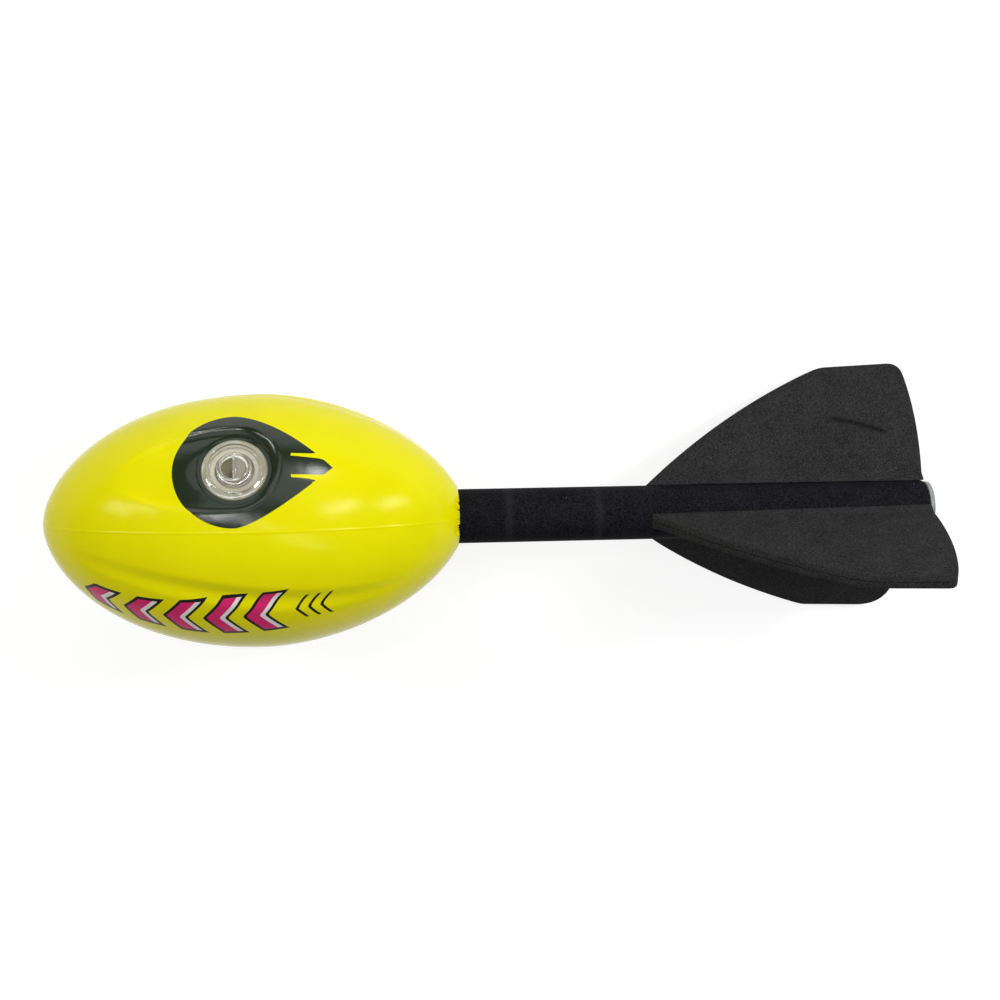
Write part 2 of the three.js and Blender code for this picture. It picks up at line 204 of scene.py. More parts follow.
def make_piece(name, points, quads, fans=(), fields=None):
    """A smooth mesh object whose faces look outwards. Each field becomes an attribute of its points."""
    faces = [np.reshape(quads, (-1, 4)), *[np.reshape(part, (-1, 3)) for part in fans]]
    used, fresh = np.unique(np.concatenate([part.ravel() for part in faces]), return_inverse=True)
    points = points.reshape(-1, 3)[used]
    stops = np.cumsum([part.size for part in faces])[:-1]
    faces = [corners.reshape(part.shape) for corners, part in zip(np.split(fresh.ravel(), stops), faces)]
    halves = [part[:, [0, k, k + 1]] for part in faces for k in range(1, part.shape[1] - 1)]
    halves = np.concatenate(halves)
    first, second, third = (points[halves[:, k]] for k in range(3))
    outward = np.sum(first * np.cross(second, third)) > 0
    listed = [corners for part in faces for corners in (part if outward else part[:, ::-1]).tolist()]
    mesh = bpy.data.meshes.new(name)
    mesh.from_pydata(points.tolist(), [], listed)
    mesh.shade_smooth()
    mesh.set_sharp_from_angle(angle=SHARP_ANGLE)
    for title, values in (fields or {}).items():
        field = mesh.attributes.new(title, "FLOAT", "POINT")
        field.data.foreach_set("value", np.ravel(values)[used].astype(np.float32))
    made = bpy.data.objects.new(name, mesh)
    bpy.context.scene.collection.objects.link(made)
    return made


HEAD_COLUMNS = 300
NOSE_ROWS = 76
STERN_ROWS = 64
even_turns = np.linspace(-math.pi, math.pi, HEAD_COLUMNS, endpoint=False)
beside_seam = np.radians([-0.9, -0.55, -0.25, 0.25, 0.55, 0.9])
turns = np.sort(np.concatenate([even_turns, beside_seam - math.pi / 2, beside_seam + math.pi / 2]))
columns = len(turns)
nose_rows = -NOSE_LENGTH * np.cos(math.pi / 2 * np.arange(1, NOSE_ROWS + 1) / NOSE_ROWS)
stern_rows = MOUTH * np.sin(math.pi / 2 * np.arange(1, STERN_ROWS + 1) / STERN_ROWS)
skin_rows = np.concatenate([nose_rows, stern_rows])
skin_along, skin_turn = np.meshgrid(skin_rows, turns, indexing="ij")
skin_radius = head_radius(skin_along) - crease_sink(skin_along, skin_turn)
skin_radius = skin_radius + seam_rise(skin_along, skin_turn)

# The skin's edge is torn back in places at the mouth. Its lip turns in to the sleeve, and the socket,
# the tube's bore and the pocket of the front plug follow behind it.
TUBE_RADIUS = 6.0
TUBE_FRONT = -22.0
PLUG_RADIUS = 9.0
PLUG_HEAD = 3.0
TEAR_DEPTH = 0.5
TEAR_REACH = 3.0
TEAR_MIDDLE = math.radians(95)
TEAR_COLUMNS = 6
TEAR_START, TEAR_MOST = 0.3, 2.0
TEAR_FAR_SHARE = 0.15
rng = np.random.default_rng(11)
tear = np.tile(rng.normal(size=columns), 3)
tear = np.convolve(tear, np.hanning(TEAR_COLUMNS), "same")[columns:2 * columns]
tear = np.clip(tear / np.std(tear) - TEAR_START, 0, TEAR_MOST) * TEAR_DEPTH
tear = tear * (TEAR_FAR_SHARE + (1 - TEAR_FAR_SHARE) * np.clip(np.cos(turns - TEAR_MIDDLE), 0, 1))
skin_along = skin_along - tear * np.clip(1 - (MOUTH - skin_along) / TEAR_REACH, 0, 1) ** 2

LIP_ALONG = np.array([0.16, 0.2, 0.12, -0.1, -0.6, -2.4])
LIP_RADIUS_SHARES = np.array([0.82, 0.55, 0.3, 0.1, 0.02, 0.0])
SOCKET_GAP = 0.1
socket_radius = SLEEVE_RADIUS + SOCKET_GAP
socket_end = MOUTH - SLEEVE_INSERT - SEAT_GAP
pocket_end = TUBE_FRONT - PLUG_HEAD - 2 * SEAT_GAP
lip_along = MOUTH + LIP_ALONG[:, None] - tear
lip_radius = socket_radius + LIP_RADIUS_SHARES[:, None] * (skin_radius[-1] - socket_radius)
inside = np.array([
    [socket_end, socket_radius],
    [socket_end, TUBE_RADIUS + SEAT_GAP],
    [TUBE_FRONT, TUBE_RADIUS + SEAT_GAP],
    [TUBE_FRONT, PLUG_RADIUS + SEAT_GAP],
    [pocket_end, PLUG_RADIUS + SEAT_GAP],
])
skin_along = np.concatenate([skin_along, lip_along, np.repeat(inside[:, :1], columns, 1)])
skin_radius = np.concatenate([skin_radius, lip_radius, np.repeat(inside[:, 1:], columns, 1)])
rows = len(skin_along)
skin_turn = np.repeat(turns[None], rows, 0)

nose_pole = rows * columns
head_places = [np.stack([skin_along.ravel(), skin_radius.ravel(), skin_turn.ravel()])]
head_places.append(np.array([[-NOSE_LENGTH, pocket_end], [0.0, 0.0], [0.0, 0.0]]))
head_grid = grid_quads(rows, columns)
head_fans = [
    fan(np.arange(columns), nose_pole, before=True),
    fan((rows - 1) * columns + np.arange(columns), nose_pole + 1),
]

# Each scoop takes the place of a rectangle of the skin's grid. Its rings run from the rectangle's
# border in to the well, over a shallow recess, down the seat's steps and to the bottom of the cup's bore.
# The steps are rows of radius, and of height over the well's floor.
SCOOP_SPAN = math.radians(27)
SCOOP_FRONT, SCOOP_REAR = -54.0, 14.0
SCOOP_RINGS = 40
WELL_RING = 18.8
RECESS_RADIUS = 13.1
RECESS_DEPTH = 0.6
RECESS_EDGE = 0.5
SEAT_RADIUS = 11.1
SEAT_STEPS = np.array([
    [SEAT_RADIUS, -0.75], [SEAT_RADIUS, -1.1], [8.5, -1.1], [8.5, -2.5], [6.5, -2.5], [6.5, -23.4],
])
blend_in = np.linspace(0, 1, SCOOP_RINGS)[1:, None]
well_rings = np.linspace(WELL_RING, SEAT_RADIUS, SCOOP_RINGS)[1:, None]
first_row = int(np.argmin(np.abs(skin_rows - SCOOP_FRONT)))
last_row = int(np.argmin(np.abs(skin_rows - SCOOP_REAR)))
shown = np.ones(head_grid.shape[:2], bool)
scoop_quads = []
next_point = nose_pole + 2
for side in (1, -1):
    edges = np.sort(side * (SCOOP_TURN + np.array([-SCOOP_SPAN, SCOOP_SPAN])))
    low, high = (int(np.argmin(np.abs(turns - edge))) for edge in edges)
    shown[first_row:last_row, low:high] = False
    over, back = np.arange(low, high), np.arange(first_row, last_row)
    border_rows = np.concatenate([
        np.full(len(over), first_row), back, np.full(len(over), last_row), back[::-1] + 1,
    ])
    border_columns = np.concatenate([
        over, np.full(len(back), high), over[::-1] + 1, np.full(len(back), low),
    ])
    border = border_rows * columns + border_columns
    border_turn = side * turns[border_columns] - SCOOP_TURN
    x, y, _ = to_whistle(skin_rows[border_rows], skin_radius[border_rows, border_columns], border_turn)
    way = np.arctan2(y, x)
    circle = np.array([np.cos(way), np.sin(way)])
    flat = np.concatenate([
        (1 - blend_in) * np.array([x, y])[:, None] + blend_in * WELL_RING * circle[:, None],
        well_rings * circle[:, None],
        SEAT_STEPS[:, :1] * circle[:, None],
    ], 1)
    recess = np.clip((RECESS_RADIUS - np.hypot(*flat)) / RECESS_EDGE, 0, 1)
    height = scoop_height(*flat) - RECESS_DEPTH * recess**2 * (3 - 2 * recess)
    height[-len(SEAT_STEPS):] = SEAT_STEPS[:, 1:]
    along, reach, turn = from_whistle(*flat, height)
    bottom = from_whistle(0.0, 0.0, SEAT_STEPS[-1, 1])
    scoop_places = [np.append(part, end) for part, end in zip((along, reach, turn), bottom)]
    scoop_places[2] = side * (SCOOP_TURN + scoop_places[2])
    head_places.append(np.stack(scoop_places))
    rings, around = len(height), len(border)
    outermost = next_point + np.arange(around)
    join = np.stack([border, np.roll(border, -1), np.roll(outermost, -1), outermost], -1)
    scoop_quads += [join, grid_quads(rings, around).reshape(-1, 4) + next_point]
    head_fans.append(fan(outermost + (rings - 1) * around, next_point + rings * around))
    next_point += rings * around + 1
head_along, head_reach, head_turn = np.concatenate(head_places, 1)
head_quads = np.concatenate([head_grid[shown].reshape(-1, 4), *scoop_quads])

# The print. Each shape is told by a distance in millimetres to its edge, less than nothing inside it:
# a dark comet round each whistle, whose tail is parted in streaks, and a row of barred chevrons below
# the seam that point to the nose, with three thin ones behind them. The row climbs and widens to the
# rear. The seat's field is one at a seat's top and two deep in its bore, where bare foam shows. Along
# that field the bare foam is painted paler, as painted light.
COMET_RADIUS = 21.0
COMET_LENGTH = 33.0
COMET_TAPER = 1.5
STREAK_PLACE = 4.0
STREAK_START = COMET_RADIUS - 2.0
STREAK_WIDTH, STREAK_SPREAD = 0.55, 0.05
FAR_INSIDE = -5.0
CHEVRON_FRONT = -61.0
CHEVRON_PITCH = 13.6
CHEVRON_COUNT = 5
CHEVRON_SLANT = 0.75
CHEVRON_EDGE = 1.3
CHEVRON_BAR_SHARE = 0.64
CHEVRON_TURN, CHEVRON_CLIMB, CLIMB_LENGTH = 141.0, 13.0, 75.0
CHEVRON_HALF, CHEVRON_GROWTH, GROWTH_SHARE = 5.2, 4.4, 0.6
THIN_PITCH = 4.2
THIN_COUNT = 3
THIN_BAR_SHARE = 0.28
THIN_HALF = 5.0
THIN_LEAD = 1.0
SEAT_SLACK = 0.05
SEAT_TOP, SEAT_BOTTOM, SEAT_FADE = 0.1, -30.0, 8.0
x, y, z = to_whistle(head_along, head_reach, np.abs(head_turn) - SCOOP_TURN)
tail_share = np.clip(x / COMET_LENGTH, 0, 2)
comet = np.where(x < 0, np.hypot(x, y), np.abs(y) + COMET_RADIUS * tail_share**COMET_TAPER) - COMET_RADIUS
streak = STREAK_WIDTH + STREAK_SPREAD * np.maximum(x - COMET_RADIUS, 0) - np.abs(np.abs(y) - STREAK_PLACE)
comet = np.maximum(comet, np.where(x > STREAK_START, streak, FAR_INSIDE))

back_share = np.clip((head_along - CHEVRON_FRONT) / CLIMB_LENGTH, 0, 1)
off = np.abs(np.abs(head_turn) - np.radians(CHEVRON_TURN - CHEVRON_CLIMB * back_share)) * head_reach
behind = head_along - CHEVRON_SLANT * off - CHEVRON_FRONT
row_length = CHEVRON_PITCH * CHEVRON_COUNT
row_half = CHEVRON_HALF + CHEVRON_GROWTH * np.clip(back_share / GROWTH_SHARE, 0, 1)
chevrons = np.maximum(off - row_half, np.maximum(-behind, behind - row_length))
thin_from = behind - row_length - THIN_PITCH
thin_length = THIN_PITCH * (THIN_COUNT - 0.5)
thin = np.maximum(off - THIN_HALF, np.maximum(-thin_from - THIN_LEAD, thin_from - thin_length))
in_bore = (np.hypot(x, y) < SEAT_RADIUS + SEAT_SLACK) & (z < SEAT_TOP) & (z > SEAT_BOTTOM)
head_fields = {
    "comet": comet,
    "chevrons": chevrons,
    "chevron_run": behind / CHEVRON_PITCH,
    "thin": thin,
    "thin_run": thin_from / THIN_PITCH,
    "seat": np.where(in_bore, np.clip(1 - z / SEAT_FADE, 1, 2), 0),
}
head_points = place_at(head_along, head_reach, 0.0, HEAD_TOP + head_turn)
head = make_piece("foam_head", head_points, head_quads, head_fans, head_fields)


def linear(colour):
    """A colour written as hex sRGB, as the linear red, green, blue and alpha that a shader works in."""
    parts = [int(colour[k:k + 2], 16) / 255 for k in (1, 3, 5)]
    return [*[c / 12.92 if c <= 0.04045 else ((c + 0.055) / 1.055) ** 2.4 for c in parts], 1.0]


def add_node(owner, kind, inputs, **settings):
    """A material's or world's node with its settings. Its inputs are linked to sockets or set to values."""
    node = owner.node_tree.nodes.new(kind)
    for setting, value in settings.items():
        setattr(node, setting, value)
    for key, value in inputs.items():
        if isinstance(value, bpy.types.NodeSocket):
            owner.node_tree.links.new(value, node.inputs[key])
        else:
            node.inputs[key].default_value = value
    return node


def new_material(name):
    """An empty node material, and the place on the object that its patterns follow."""
    material = bpy.data.materials.new(name)
    material.use_nodes = True
    material.node_tree.nodes.clear()
    return material, add_node(material, "ShaderNodeTexCoord", {}).outputs["Object"]


# Skinned polyurethane foam, as it leaves the mould: a satin yellow, faintly uneven, which shows lamps as
# soft spots. Its pores are drawn a little coarser than the real ones, so that they show. The dark patch
# is a glossier ink. The cut foam in the seats is a dull brownish grey at their tops and is painted paler
# down the bores, a painted light that stands in for the light at the bottom of the deep cups.
skin, place = new_material("moulded_yellow_foam_skin")
cloud = add_node(skin, "ShaderNodeTexNoise", {"Vector": place, "Scale": 1 / (14 * MM), "Detail": 3.0})
pores = add_node(skin, "ShaderNodeTexNoise", {"Vector": place, "Scale": 1 / (0.55 * MM), "Detail": 2.0})
swell = add_node(skin, "ShaderNodeTexNoise", {"Vector": place, "Scale": 1 / (5 * MM), "Detail": 1.0})
colour = add_node(skin, "ShaderNodeMix", {
    0: cloud.outputs["Fac"], 6: linear("#e2da00"), 7: linear("#ebe302"),
}, data_type="RGBA").outputs[2]

# Each part of the print is where a field lies under its limit. Bars come from the runs' fractions.
fields = {title: add_node(skin, "ShaderNodeAttribute", {}, attribute_name=title).outputs["Fac"]
          for title in head_fields}
for title in ("chevron_run", "thin_run"):
    fields[title] = add_node(skin, "ShaderNodeMath", {0: fields[title]}, operation="FRACT").outputs[0]
PRINT_LIMITS = [
    ("patch", "comet", 0.0),
    ("row", "chevrons", 0.0),
    ("row_inside", "chevrons", -CHEVRON_EDGE),
    ("bar", "chevron_run", CHEVRON_BAR_SHARE),
    ("thin_row", "thin", 0.0),
    ("thin_bar", "thin_run", THIN_BAR_SHARE),
]
for part, title, limit in PRINT_LIMITS:
    under = add_node(skin, "ShaderNodeMath", {0: fields[title], 1: limit}, operation="LESS_THAN")
    fields[part] = under.outputs[0]
for part, bars in (("row", "bar"), ("row_inside", "bar"), ("thin_row", "thin_bar")):
    both = add_node(skin, "ShaderNodeMath", {0: fields[part], 1: fields[bars]}, operation="MULTIPLY")
    fields[part] = both.outputs[0]
INK = linear("#1b211b")
CHEVRON_INKS = [(0.0, INK), (0.09, linear("#d42a6c")), (0.42, linear("#e6e0da")), (0.55, INK)]
chevron_ink = add_node(skin, "ShaderNodeValToRGB", {0: fields["chevron_run"]})
inks = chevron_ink.color_ramp
inks.interpolation = "CONSTANT"
inks.elements.remove(inks.elements[1])
inks.elements[0].color = CHEVRON_INKS[0][1]
for start, ink in CHEVRON_INKS[1:]:
    inks.elements.new(start).color = ink
in_seat = add_node(skin, "ShaderNodeMath", {0: fields["seat"], 1: 0.5}, operation="GREATER_THAN")
# Painted light: the bare foam runs from a dull brownish grey at the seat's top to pale cream deep in the
# bore, so that the deep cup looks lit.
painted_light_depth = add_node(skin, "ShaderNodeMath", {0: fields["seat"], 1: 1.0}, operation="SUBTRACT", use_clamp=True)
bare_foam_painted_light = add_node(skin, "ShaderNodeMix", {
    0: painted_light_depth.outputs[0], 6: linear("#71705a"), 7: linear("#fff4d2"),
}, data_type="RGBA")
layers = [
    (fields["patch"], linear("#102205")),
    (fields["row"], INK),
    (fields["row_inside"], chevron_ink.outputs["Color"]),
    (fields["thin_row"], INK),
    (in_seat.outputs[0], bare_foam_painted_light.outputs[2]),
]
for part, ink in layers:
    colour = add_node(skin, "ShaderNodeMix", {0: part, 6: colour, 7: ink}, data_type="RGBA").outputs[2]
swell_bump = add_node(skin, "ShaderNodeBump", {
    "Height": swell.outputs["Fac"], "Strength": 0.35, "Distance": 0.25 * MM,
})
pore_bump = add_node(skin, "ShaderNodeBump", {
    "Height": pores.outputs["Fac"], "Normal": swell_bump.outputs["Normal"],
    "Strength": 0.3, "Distance": 0.08 * MM,
}).outputs["Normal"]
ink_gloss = add_node(skin, "ShaderNodeMath", {0: fields["patch"], 1: 0.9}, operation="MULTIPLY")
skin_shader = add_node(skin, "ShaderNodeBsdfPrincipled", {
    "Base Color": colour, "Roughness": 0.18, "Specular IOR Level": 0.1, "Normal": pore_bump,
    "Coat Weight": ink_gloss.outputs[0], "Coat Roughness": 0.18, "Coat Normal": pore_bump,
})
add_node(skin, "ShaderNodeOutputMaterial", {"Surface": skin_shader.outputs[0]})
head.data.materials.append(skin)
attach(head, "root")
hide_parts("head_foam")

# Whistles. Each face is a clear moulded disc with a beaded rim and a raised hub, whose lid has a
# half-moon window on the nose side, pressed in the foam. Behind it a clear flanged cup, closed at the
# bottom, is the air chamber.
WINDOW_RADIUS = 4.4
WINDOW_LIP = 0.5
HUB_RADIUS = 4.8
CUP_FRONT = -1.1
CUP_LENGTH = 22.0
CUP_FLOOR = 0.9
CUP_END = CUP_FRONT - CUP_LENGTH

# Rings are rows of radius, and of height over the well's floor. The lid's rows hold the share of the
# way from the hub's wall in to the window's edge instead of a radius.
FACE_RINGS = np.array([
    [HUB_RADIUS, 0.8], [HUB_RADIUS, -0.8], [10.4, -0.8], [10.7, -0.72], [10.8, -0.5], [10.8, 0.38],
    [10.75, 0.49], [10.3, 0.76], [9.8, 1.05], [9.4, 1.28], [9.25, 1.33], [9.1, 1.28], [8.98, 1.08],
    [8.9, 0.8], [8.8, 0.5], [8.6, 0.3], [8.1, 0.24], [7.0, 0.26], [6.3, 0.36], [5.95, 0.6],
    [5.75, 0.95], [5.66, 1.4], [5.6, 1.85], [5.5, 2.1], [5.3, 2.24], [5.05, 2.26], [HUB_RADIUS, 2.16],
])
LID_ROWS = np.array([
    [0.25, 2.04], [0.45, 2.0], [0.72, 2.0], [0.8, 2.08], [0.88, 2.34], [0.95, 2.42], [1.0, 2.3],
    [1.0, 1.7], [1.0, 1.1], [0.95, 0.98], [0.86, 1.06], [0.78, 1.22], [0.4, 1.22], [0.15, 1.1],
])
CUP_RINGS = np.array([
    [5.3, CUP_FRONT - 0.2], [5.5, CUP_FRONT], [8.0, CUP_FRONT], [8.2, CUP_FRONT - 0.2],
    [8.2, CUP_FRONT - 0.9], [8.0, CUP_FRONT - 1.1], [6.35, CUP_FRONT - 1.1], [6.2, CUP_FRONT - 1.3],
    [6.2, CUP_END + 0.6], [6.02, CUP_END + 0.18], [5.6, CUP_END],
])
CUP_INSIDE = np.array([[4.9, CUP_END + CUP_FLOOR], [5.2, CUP_END + 1.1], [5.3, CUP_END + 1.5]])
RIM_HAZE, LID_HAZE = 0.02, 0.09
WHISTLE_COLUMNS = 144
way = np.linspace(-math.pi, math.pi, WHISTLE_COLUMNS, endpoint=False)
chord_way = math.acos(-WINDOW_LIP / WINDOW_RADIUS)
on_chord = np.abs(way) < chord_way
window = np.array([
    np.where(on_chord, -WINDOW_LIP, WINDOW_RADIUS * np.cos(way)),
    np.where(on_chord, WINDOW_RADIUS * math.sin(chord_way) * way / chord_way, WINDOW_RADIUS * np.sin(way)),
])


def turned(rings):
    """Rings about the whistle's own line, from rows of radius and height."""
    circle = np.array([np.cos(way), np.sin(way)])
    return np.concatenate([rings[:, :1] * circle[:, None], [rings[:, 1:] + 0 * way]])


lid = np.concatenate([
    (1 - LID_ROWS[:, :1]) * HUB_RADIUS * np.array([np.cos(way), np.sin(way)])[:, None]
    + LID_ROWS[:, :1] * window[:, None],
    [LID_ROWS[:, 1:] + 0 * way],
])
face_places = np.concatenate([turned(FACE_RINGS), lid], 1)
cup_places = turned(np.concatenate([CUP_RINGS, CUP_INSIDE]))

# Clear moulded polystyrene. Its faces bend and mirror what is round them, with a trace of haze.
clear, place = new_material("clear_moulded_plastic")
flow = add_node(clear, "ShaderNodeTexNoise", {"Vector": place, "Scale": 1 / (3 * MM), "Detail": 1.0})
flow_bump = add_node(clear, "ShaderNodeBump", {
    "Height": flow.outputs["Fac"], "Strength": 0.12, "Distance": 0.2 * MM,
})
clear_shader = add_node(clear, "ShaderNodeBsdfPrincipled", {
    "Base Color": linear("#fbfbf8"), "Roughness": 0.04, "IOR": 1.58,
    "Transmission Weight": 1.0, "Normal": flow_bump.outputs["Normal"],
})
light_path = add_node(clear, "ShaderNodeLightPath", {})
straight = add_node(clear, "ShaderNodeMath", {
    0: light_path.outputs["Is Shadow Ray"], 1: light_path.outputs["Is Diffuse Ray"],
}, operation="ADD", use_clamp=True)
let_through = add_node(clear, "ShaderNodeBsdfTransparent", {"Color": linear("#fcfcfa")})
haze = add_node(clear, "ShaderNodeAttribute", {}, attribute_name="haze")
milky = add_node(clear, "ShaderNodeBsdfDiffuse", {"Color": linear("#dcd9cf")})
hazy = add_node(clear, "ShaderNodeMixShader", {
    0: haze.outputs["Fac"], 1: clear_shader.outputs[0], 2: milky.outputs[0],
})
clear_mix = add_node(clear, "ShaderNodeMixShader", {
    0: straight.outputs[0], 1: hazy.outputs[0], 2: let_through.outputs[0],
})
add_node(clear, "ShaderNodeOutputMaterial", {"Surface": clear_mix.outputs[0]})

for side, name in ((1, "left"), (-1, "right")):
    for kind, places in (("face", face_places), ("cup", cup_places)):
        along, reach, turn = from_whistle(*places)
        points = place_at(along, reach, 0.0, HEAD_TOP + side * (SCOOP_TURN + turn)).reshape(-1, 3)
        quads = grid_quads(places.shape[1], WHISTLE_COLUMNS, rows_close=True)
        fans = []
        if kind == "cup":
            quads = np.delete(quads, len(CUP_RINGS) - 1, 0)
            outer, inner = len(CUP_RINGS) * WHISTLE_COLUMNS, len(points)
            fans = [
                fan(outer - WHISTLE_COLUMNS + np.arange(WHISTLE_COLUMNS), inner),
                fan(outer + np.arange(WHISTLE_COLUMNS), inner + 1, before=True),
            ]
            along, reach, turn = from_whistle(0.0, 0.0, np.array([CUP_END, CUP_END + CUP_FLOOR]))
            poles = place_at(along, reach, 0.0, HEAD_TOP + side * (SCOOP_TURN + turn))
            points = np.concatenate([points, poles])
        haze_shares = np.full(len(points), RIM_HAZE)
        if kind == "face":
            haze_shares[len(FACE_RINGS) * WHISTLE_COLUMNS:] = LID_HAZE
        made = make_piece(f"clear_{kind}_{name}", points, quads, fans, {"haze": haze_shares})
        made.data.materials.append(clear)
        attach(made, "root")
        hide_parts(f"whistle_{kind}_{name}")

# Tail sleeve. A length of black closed-cell foam tube, slid over the core tube and sunk in the head's
# mouth. Two faint pale rings are painted on it, a painted sheen that stands in for two shallow dents.
SLEEVE_BORE = TUBE_RADIUS + SEAT_GAP
SLEEVE_ROUND = 0.8
SLEEVE_STEP = 0.9
SLEEVE_COLUMNS = 144
CORNER_ROWS = 7
SHEEN_RING_PLACES = np.array([88.0, 120.4])
SHEEN_RING_HALF = 1.4
SHEEN_RING_STRENGTH = 0.2
sleeve_front = MOUTH - SLEEVE_INSERT
outer_along = np.arange(sleeve_front, SLEEVE_END - SLEEVE_ROUND, SLEEVE_STEP)
corner = np.linspace(0, math.pi / 2, CORNER_ROWS)
sleeve_rows = np.concatenate([
    np.stack([outer_along, np.full_like(outer_along, SLEEVE_RADIUS)], -1),
    np.stack([
        SLEEVE_END - SLEEVE_ROUND + SLEEVE_ROUND * np.sin(corner),
        SLEEVE_RADIUS - SLEEVE_ROUND + SLEEVE_ROUND * np.cos(corner),
    ], -1),
    [[SLEEVE_END, SLEEVE_BORE], [sleeve_front, SLEEVE_BORE]],
])
around = np.linspace(-math.pi, math.pi, SLEEVE_COLUMNS, endpoint=False)
sleeve_points = place_at(sleeve_rows[:, :1], sleeve_rows[:, 1:], 0.0, around)
sleeve_quads = grid_quads(len(sleeve_rows), SLEEVE_COLUMNS, rows_close=True)
# Painted sheen: two pale rings, standing in for the light caught by two shallow dents in the tube.
painted_sheen_rings = SHEEN_RING_STRENGTH * np.exp(-(((sleeve_rows[:, :1] - SHEEN_RING_PLACES) / SHEEN_RING_HALF) ** 4)).sum(1)
sleeve_painted_sheen = {"scuff_and_painted_sheen": np.repeat(painted_sheen_rings, SLEEVE_COLUMNS)}
sleeve = make_piece("foam_sleeve", sleeve_points, sleeve_quads, fields=sleeve_painted_sheen)


# Closed-cell EVA foam, cut and left raw: near black and matt, with a fine grain of cells and a few
# specks of dust. The cells are drawn a little coarser than the real ones, so that they show.
def cell_foam(name, dark, light, cell):
    """A foam with cells of a size in millimetres, a painted pale sheen where a field is over nought, a dark
    scuff under it.
    """
    material, place = new_material(name)
    cells = add_node(material, "ShaderNodeTexVoronoi", {"Vector": place, "Scale": 1 / (cell * MM)})
    dust = add_node(material, "ShaderNodeTexVoronoi", {"Vector": place, "Scale": 1 / (5 * MM)})
    grain = add_node(material, "ShaderNodeTexNoise", {
        "Vector": place, "Scale": 1 / (0.6 * MM), "Detail": 3.0,
    })
    scuffs = add_node(material, "ShaderNodeTexNoise", {
        "Vector": place, "Scale": 1 / (9 * MM), "Detail": 6.0, "Roughness": 0.65,
    })
    grainy = add_node(material, "ShaderNodeMath", {
        0: grain.outputs["Fac"], 1: 3.2, 2: scuffs.outputs["Fac"],
    }, operation="MULTIPLY_ADD")
    worn = add_node(material, "ShaderNodeMath", {
        0: grainy.outputs[0], 1: 1.6,
    }, operation="SUBTRACT", use_clamp=True)
    tone = add_node(material, "ShaderNodeMix", {
        0: worn.outputs[0], 6: linear(dark), 7: linear(light),
    }, data_type="RGBA").outputs[2]
    speck = add_node(material, "ShaderNodeMath", {
        0: dust.outputs["Distance"], 1: 0.022,
    }, operation="LESS_THAN")
    scuff_and_painted_sheen = add_node(material, "ShaderNodeAttribute", {}, attribute_name="scuff_and_painted_sheen").outputs["Fac"]
    smear = add_node(material, "ShaderNodeMath", {0: scuff_and_painted_sheen, 1: -1.5}, operation="MULTIPLY")
    darker = add_node(material, "ShaderNodeMath", {
        0: smear.outputs[0], 1: worn.outputs[0],
    }, operation="MULTIPLY")
    # Over nought the field paints a pale sheen, under nought a dark scuff; the specks are pale dust.
    marks = [
        (scuff_and_painted_sheen, linear("#3c3c40")),
        (darker.outputs[0], linear("#050506")),
        (speck.outputs[0], linear("#a9a9a6")),
    ]
    for part, ink in marks:
        tone = add_node(material, "ShaderNodeMix", {0: part, 6: tone, 7: ink}, data_type="RGBA").outputs[2]
    grain_bump = add_node(material, "ShaderNodeBump", {
        "Height": grain.outputs["Fac"], "Strength": 0.4, "Distance": 0.3 * MM,
    })
    cell_bump = add_node(material, "ShaderNodeBump", {
        "Height": cells.outputs["Distance"], "Normal": grain_bump.outputs["Normal"],
        "Strength": 0.5, "Distance": 0.12 * MM,
    })
    shader = add_node(material, "ShaderNodeBsdfPrincipled", {
        "Base Color": tone, "Roughness": 0.62, "Specular IOR Level": 0.02,
        "Normal": cell_bump.outputs["Normal"],
    })
    add_node(material, "ShaderNodeOutputMaterial", {"Surface": shader.outputs[0]})
    return material


sleeve.data.materials.append(cell_foam("black_tube_foam", "#0b0b0e", "#222227", 0.45))
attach(sleeve, "root")
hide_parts("tail_sleeve")

# Tail end cap. A grey moulded plug, pushed and glued in the end of the core tube, whose disc covers
# the end of the sleeve.
CAP_RADIUS = SLEEVE_RADIUS - 0.45
CAP_CORNER = 0.5
CAP_EDGE = 0.2
CAP_PLUG_RADIUS = 4.2
CAP_PLUG_LENGTH = 10.0
CAP_PLUG_CHAMFER = 0.4
disc_front = CAP_FACE - CAP_THICKNESS
plug_front = disc_front - CAP_PLUG_LENGTH
cap_rows = np.concatenate([
    [
        [plug_front, CAP_PLUG_RADIUS - CAP_PLUG_CHAMFER],
        [plug_front + CAP_PLUG_CHAMFER, CAP_PLUG_RADIUS],
        [disc_front, CAP_PLUG_RADIUS],
        [disc_front, CAP_RADIUS - CAP_EDGE],
        [disc_front + CAP_EDGE, CAP_RADIUS],
    ],
    np.stack([
        CAP_FACE - CAP_CORNER + CAP_CORNER * np.sin(corner),
        CAP_RADIUS - CAP_CORNER + CAP_CORNER * np.cos(corner),
    ], -1),
])
cap_points = place_at(cap_rows[:, :1], cap_rows[:, 1:], 0.0, around).reshape(-1, 3)
cap_poles = place_at(np.array([plug_front, CAP_FACE]), 0.0)
cap_count = len(cap_points)
cap = make_piece(
    "grey_end_cap",
    np.concatenate([cap_points, cap_poles]),
    grid_quads(len(cap_rows), SLEEVE_COLUMNS),
    [
        fan(np.arange(SLEEVE_COLUMNS), cap_count, before=True),
        fan(cap_count - SLEEVE_COLUMNS + np.arange(SLEEVE_COLUMNS), cap_count + 1),
    ],
)

